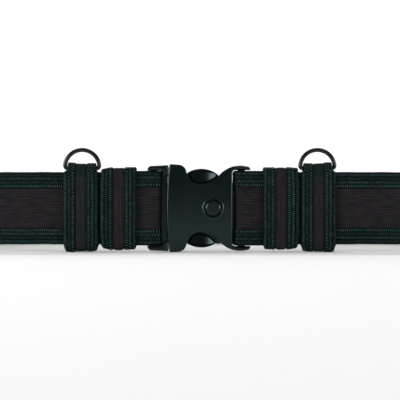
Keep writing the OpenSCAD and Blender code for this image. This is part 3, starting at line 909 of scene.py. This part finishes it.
# The flap hangs behind the back wall's tapes and band, its own tape, and room to move
FLAP_U = OUT_U + 2 * KEEPER_TAPE_T + 2 * BAND_HALF + KEEPER_TAPE_T + 0.3 + BAND_HALF
FLAP_LINE = [(FLAP_U - 0.15, 25.0), (FLAP_U - 0.05, 23.5), (FLAP_U, 22.0), (FLAP_U, -17.0)]
FLAP_HINGE = (21.8, 19.2)  # the heights of two points given with the flap's pieces, which settle does not read


def flap_run(step):
    path, s = resample(FLAP_LINE, step)
    return in_row(path, -right_of(path), s, False), path[:, 1]


def flap_shape(s, b, face):
    return 0.2 * np.clip(1 - (b / 3.9) ** 2, 0, 1) * (face > 0)


def keeper_flap(keeper):
    """The flap that closes a keeper at the back: cloth between two tapes, which bends at its top."""
    name = f"{keeper.name}_flap"
    middle = keeper.side * keeper.centre
    ends = [(middle * MM, (FRONT_Y + FLAP_U) * MM, (FRONT_Z + z) * MM) for z in FLAP_HINGE]
    blended = (keeper.name, keeper.flap, *ends)
    run, heights = flap_run(0.3)
    for which, sign, edge in (("inner", -keeper.side, -keeper.near), ("outer", keeper.side, keeper.far)):
        edge = edge + wander(run[2], 90 + keeper.k, 0.10, 21.0) - 0.1
        piece = tape(f"{name}_binding_{which}_tape", run, (sign, 0, 0), edge, KEEPER_TAPE, 0.55)
        settle(piece, "binding", blended=blended)
    (points, normal, s, closed), heights = flap_run(0.8)
    run = (points + np.array((middle, 0, 0)), normal, s, closed)
    cloth = layer(f"{name}_cloth", run, (keeper.side, 0, 0), -BAND_CLOTH_HALF, BAND_CLOTH_HALF, keeper.half,
                  4.2, materials["cloth"], flap_shape, step=0.5)
    settle(cloth, "webbing", node=name, blended=blended)
    (points, normal, s, closed), heights = flap_run(2.6)
    sewn = (heights > -15.5) & (heights < 24.5)
    down = np.tile((0, 0, -1.0), (sewn.sum(), 1))
    piece = keeper_seams(f"{name}_stitches", keeper, points[sewn], normal[sewn], down)
    settle(piece, "binding", blended=blended)


def keeper_fastening(keeper):
    """The hooks on the flap, the loops on the band, and the folded cloth that the flap hangs from."""
    for part, body, slot in (("hook", keeper.flap, "hook"), ("loop", keeper.name, "lining")):
        node = f"{keeper.name}_{part}"
        patch = soft_block(f"{node}_pile", *box(node), materials[part], cell=0.4, swell=0.1,
                           seed=100 + keeper.k)
        settle(patch, slot, body, node)
    left, right = sorted(keeper.side * x for x in (keeper.near + 0.9, keeper.far - 0.9))
    lo = (left, FRONT_Y + OUT_U + 1.62, FRONT_Z + 21.9)
    hi = (right, FRONT_Y + FLAP_U - 0.4, FRONT_Z + 24.6)
    seat = soft_block(f"{keeper.name}_flap_seat", lo, hi, materials["cloth"], cell=0.5, swell=0.05,
                      seed=120 + keeper.k)
    settle(seat, "webbing", keeper.name)


for keeper in map(keeper_facts, (1, 2, 3, 4)):
    keeper_bindings(keeper)
    keeper_band(keeper)
    keeper_stitches(keeper)
    keeper_flap(keeper)
    keeper_fastening(keeper)


# --- D-rings ---


def arc(cx, cz, r, a0, a1, n):
    """Points of an arc about a centre, from one angle to another in n steps."""
    a = np.radians(np.linspace(a0, a1, n + 1))
    return list(zip(cx + r * np.cos(a), cz + r * np.sin(a)))


ARCH_R, CORNER_R, WIRE_R = 12.07, 2.2, 1.48
DROP = 0.95  # the straight bar lies this far below the arch's centre


def d_ring(name, x):
    """A D of bent wire: an arch, two small corners, and a straight bar below."""
    corner_z = CORNER_R - DROP
    corner_x = math.sqrt((ARCH_R - CORNER_R) ** 2 - corner_z * corner_z)
    lean = math.atan2(corner_z, corner_x)
    left = arc(-corner_x, corner_z, CORNER_R, 270, 180 - math.degrees(lean), 25)
    over = arc(0, 0, ARCH_R, 180 - math.degrees(lean), math.degrees(lean), 89)[1:-1]
    right = [(-px, pz) for px, pz in left[::-1]]
    bar_ = [(px, -DROP) for px in np.linspace(corner_x, -corner_x, 24)[1:-1]]
    wire = np.array(left + over + right + bar_)
    centre = np.array((x, FRONT_Y + MID_U, FRONT_Z + RING_BAR + DROP))
    rows = []
    for (px, pz), (ox, oz) in zip(wire, -right_of(wire, closed=True)):
        for t in circle(32):
            out = WIRE_R * math.cos(t)
            rows.append(centre + (px + out * ox, WIRE_R * math.sin(t), pz + out * oz))
    faces = lattice(len(wire), 32, True)[0]
    ring = make(f"{name}_wire", rows, faces, material=materials["wire"], sharp=80)
    settle(ring, "black_wire", name, name)


d_ring("d_ring_left", -RING_X)
d_ring("d_ring_right", RING_X)


# --- The buckle ---


def mirrored(points):
    return [(x, -z) for x, z in points[::-1]]


# Outlines of the buckle's parts, along the belt and up from its middle
MOUTH_X, MOUTH_R = 227, 250
MOUTH_TURN = math.degrees(math.asin(30.2 / MOUTH_R))
MOUTH = arc(MOUTH_X, 0, MOUTH_R, 180, 180 - MOUTH_TURN, 12) + arc(-20.4, 30.1, 0.7, 160, 90, 6)
WINDOW = (arc(-15.0, 24.6, 5.8, 88, 5, 16) + arc(0.3, 25.7, 8.7, 200, 270, 20)
          + arc(0.3, 34.5, 17.5, 272, 318.5, 24))
FEMALE_ARM = (arc(28.4, 10.3, 19.6, 139.4, 76, 30) + arc(33.0, 26.9, 2.5, 70, 4, 9) + [(35.5, 26.7)]
              + arc(24.8, 24.7, 2, 90, 180, 8))
FEMALE = MOUTH + WINDOW + FEMALE_ARM + mirrored(MOUTH + WINDOW + FEMALE_ARM)
cavity_half = [(14, 15.5), (14, 28), (-9.3, 28), (-9.3, 25.3), (-30, 25.3)]
CAVITY = mirrored(cavity_half) + [(17.5, -12), (17.5, 12)] + cavity_half
ARM = arc(-33.5, 26.4, 3.2, 180, 100, 12) + [
    (-22.05, 30.1), (-21.7, 28.3), (-22.2, 22.5), (-26.0, 25.2), (-27.9, 26.4), (-36.7, 26.4)]
PAD = ([(-16, 18.1), (-10.5, 17.8), (-5, 15.2), (7, 15.2), (12.4, 17.6)] + arc(1.1, 8.9, 18.6, 49, 122, 28)
       + [(-8.6, 22.4), (-16, 21.9)])
BUTTON_X, HOLE_R, BUTTON_R = 9.3, 6.3, 5.6
SHELL_FRONT, SHELL_BACK, CAVITY_HALF = -6.42, 6.8, 4.2
BAR_R, BAR_FLAT, BAR_HALF = 1.4, 1.8, 27.0
ROOT_X = -16.0  # the prongs and the tongue bend here
PRONG_HALF = 3.9
TONGUE_HALF = 6.4


def slab(x, z, x0, x1, z0, z1):
    return np.maximum(np.abs(x - (x0 + x1) / 2) - (x1 - x0) / 2, np.abs(z - (z0 + z1) / 2) - (z1 - z0) / 2)


def bar(x, u, z, fold_x):
    """The flat, round-edged bar that the strap folds round."""
    ends = sorted((fold_x, fold_x + math.copysign(BAR_FLAT, fold_x)))
    return np.maximum(np.hypot(x - np.clip(x, *ends), u) - BAR_R, np.abs(z) - BAR_HALF)


def crown(x, z):
    """Depth of the female half's front: gently domed, then falling away past a soft crease."""
    return (x - 4) ** 2 / 1300 + z * z / 1000 + 0.055 * np.maximum(x - 18.9, 0) * smooth((x - 18.4) / 1.5)


def female_field(x, u, z):
    """A domed shell with a lip at its mouth and a rim round its button hole, hollow inside, and its bar."""
    outline = outline_distance(FEMALE, x, z)
    from_button = np.hypot(x - BUTTON_X, z)
    mouth = np.hypot(x - MOUTH_X, z) - MOUTH_R
    front = SHELL_FRONT + crown(x, z)
    front = front + 0.20 * smooth((-mouth - 3.7) / 0.9) * (1 - smooth((x - 12) / 6) * 0.4)
    rim = smooth((from_button - HOLE_R + 0.4) / 0.3) * (1 - smooth((from_button - HOLE_R - 0.75) / 0.55))
    front = front - 0.42 * rim
    r = 0.95 + 1.6 * smooth((x - 23) / 3) * smooth((np.abs(z) - 24) / 3)
    body = plate(outline, front, SHELL_BACK - 0.6 * crown(x, z), u, r)
    inner = outline_distance(CAVITY, x, z)
    body = carve(body, plate(inner, -CAVITY_HALF, CAVITY_HALF, u, 0.35), 0.35)
    body = carve(body, np.maximum(from_button - HOLE_R, u), 0.30)
    return join(body, bar(x, u, z, FOLD_X[1]), 0.9)


def male_field(x, u, z):
    """Two arms, a cross piece between them, a base with hollows, guide rails, and the bar."""
    z = np.abs(z)
    thick = 4.9 + 0.25 * smooth((x + 26) / 4)
    body = plate(outline_distance(ARM, x, z), -thick, thick, u, 1.35)
    body = join(body, plate(slab(x, z, -26.8, -22.8, -28.2, 28.2), -1.0, 1.5, u, 0.5), 0.6)
    base = plate(slab(x, z, -22.5, -18.2, -24.1, 24.1), -3.2, 3.2, u, 0.5)
    for mid in (4.5, 14.5):
        hollow = slab(x, z, -21.6, -19.4, mid - 3.4, mid + 3.4)
        base = carve(base, plate(hollow, -9, -2.2, u, 0.3), 0.4)
    body = join(body, base, 0.5)
    rail = plate(slab(x, z, -19.2, 7.3, 8.4, 10.4), -3.0, 3.0, u, 0.7)
    return join(join(body, rail, 0.8), bar(x, u, z, -FOLD_X[-1]), 0.9)


def prong_field(x, u, z, gap, widen, lean):
    """A prong whose thumb pad is scooped, leans by lean, and has a raised rim along its outer edge.
    A trench runs along the female half's window, gap wide and widening along the belt."""
    pad = outline_distance(PAD, x, z)
    window = outline_distance(FEMALE, x, z)
    reach = np.hypot(x - 1.1, z + 5.0)  # from the middle of the arc that the pad's outer edge follows
    rim = 1.9 * smooth((reach - 31.0) / 0.8) * smooth((x + 9) / 2.5) * smooth((window - 2) / 3)
    bay = smooth((x + 9.8) / 1.2)
    dip = 3.8 * (1 - np.clip((x - 0.5) / 10.6, 0, 1) ** 1.7) * (1 - 0.2 * smooth((-1 - x) / 5.5))
    dip = dip + lean * np.clip(30.6 - reach, 0, 9) + max(-lean, 0) * 6
    dip = np.clip(dip, 0, 4.7) * bay * (1 - smooth((reach - 30.6) / 0.9))
    front = -PRONG_HALF - rim + dip
    gap = gap + widen * np.clip(x + 1, 0, 12)
    trench = (1 - smooth((window - gap) / 0.7)) * bay * smooth((z - 14) / 1.5)
    front = front + (1.2 - front) * trench
    scooped = np.clip(dip / 4.4, 0, 1)
    back = PRONG_HALF + rim - 1.5 * scooped - 1.5 * trench * (1 - scooped)
    root = plate(np.hypot(x - ROOT_X, z - 20) - 1.9, -PRONG_HALF, PRONG_HALF, u, 0.4)
    return join(plate(pad, front, back, u, 0.6), root, 0.3)


def tongue_field(x, u, z):
    """A leaf that bends at its root, with the bevelled lock button near its end."""
    from_button = np.hypot(x - BUTTON_X, z)
    leaf = np.minimum(slab(x, z, ROOT_X, BUTTON_X, -TONGUE_HALF, TONGUE_HALF), from_button - TONGUE_HALF)
    root = np.maximum(np.hypot(x - ROOT_X, u + 2.65) - 1.2, np.abs(z) - TONGUE_HALF)
    body = join(plate(leaf, -3.85, -1.45, u, 0.35), root, 0.2)
    bevel = (from_button - BUTTON_R + 0.12 + np.maximum(-5.70 - u, 0) * 1.6) * 0.53
    button = np.maximum(np.maximum(bevel, from_button - BUTTON_R), np.maximum(SHELL_FRONT - u, u + 3.0))
    return join(body, button, 0.25)


def moulded(name, field_of, at, step, body, node, flip=1, **more):
    x, u, z, origin = space(*at, step)
    field = field_of(x, u, z * flip, **more).astype(np.float32)
    piece = skin(name, field, origin, step, materials["plastic"])
    settle(piece, "buckle_plastic", body, node)


moulded("female_shell", female_field, (-24.6, 37, -7.6, 7.6, -32, 32), 0.3, "belt", "female_body")
moulded("male_shell", male_field, (-38, 8.6, -5.9, 5.9, -31.5, 31.5), 0.3, "left_end", "male_frame")
moulded("prong_upper_shell", prong_field, (-19, 16, -6.5, 6.5, 13.6, 29), 0.24,
        "prong_upper", "prong_upper", gap=0.4, widen=0.0, lean=-0.06)
moulded("prong_lower_shell", prong_field, (-19, 16, -6.5, 6.5, -29, -13.6), 0.24,
        "prong_lower", "prong_lower", flip=-1, gap=0.5, widen=0.16, lean=0.10)
moulded("lock_tongue_shell", tongue_field, (-18.2, 16.6, -7.2, -0.6, -7.2, 7.2), 0.2,
        "lock_tongue", "lock_tongue")


# --- Floor, light and camera ---

FLOOR_FRONT, FLOOR_BACK, FLOOR_SIDE = -4500, 3200, 6000
CURVE_R, BACKDROP_TOP = 800, 4200
PAPER = (0.93, 0.93, 0.93)


def paper_material():
    m = shader("studio_paper", 0.9, 0.1)
    shade = m.mix(rgba(PAPER), rgba(PAPER, 0.985), m.noise(6, 2))
    return m.finish(shade, m.noise(300, 2), 0.0001, 0.1)


def ground():
    """A floor that turns up smoothly into a backdrop behind the belt."""
    turn = np.linspace(0.05, math.pi / 2, 16)
    run = [(FLOOR_FRONT, 0), (FLOOR_BACK, 0)]
    run += [(FLOOR_BACK + CURVE_R * math.sin(a), CURVE_R - CURVE_R * math.cos(a)) for a in turn]
    run += [(FLOOR_BACK + CURVE_R, BACKDROP_TOP)]
    places = np.linspace(-FLOOR_SIDE, FLOOR_SIDE, 9)
    points = [(x, y, z - 0.02) for y, z in run for x in places]
    faces = lattice(len(run), len(places), False)[0].reshape(-1, len(places), 4)[:, :-1]
    floor = make("studio_floor", points, faces, material=paper_material())


def softbox(name, at, aim, size, power):
    lamp = bpy.data.lights.new(name, "AREA")
    lamp.shape, lamp.size, lamp.size_y, lamp.energy = "RECTANGLE", *size, power
    obj = add(name, lamp)
    obj.location = at
    obj.rotation_euler = (Vector(aim) - Vector(at)).to_track_quat("-Z", "Y").to_euler()


ground()
softbox("softbox_left", (-1.36, -0.72, 0.45), (0, -0.07, 0.04), (1.1, 0.9), 26)
softbox("softbox_right", (1.36, -0.72, 0.20), (0, -0.07, 0.04), (1.1, 0.9), 22)
softbox("softbox_top", (0, 0.1, 1.35), (0, 0.1, 0), (1.8, 1.6), 8.5)
softbox("softbox_backdrop", (0, 2.2, 3.2), (0, 4.0, 0.5), (4.0, 0.9), 110)

world = bpy.data.worlds.new("studio")
world.use_nodes = True
background = world.node_tree.nodes["Background"]
background.inputs["Color"].default_value = (1, 1, 1, 1)
background.inputs["Strength"].default_value = 0.1
bpy.context.scene.world = world

CAMERA_AWAY = 0.75
VIEW_WIDTH = 0.280
SENSOR = 36
camera = bpy.data.cameras.new("camera")
camera.sensor_width = SENSOR
camera.lens = SENSOR * CAMERA_AWAY / VIEW_WIDTH
camera.clip_start, camera.clip_end = 0.05, 20
eye = add("camera", camera)
eye.location = (0.17 * MM, FRONT_Y * MM - CAMERA_AWAY, 36.5 * MM)
eye.rotation_euler = (math.pi / 2, 0, 0)
bpy.context.scene.camera = eye
bpy.context.scene.view_settings.view_transform = "Standard"
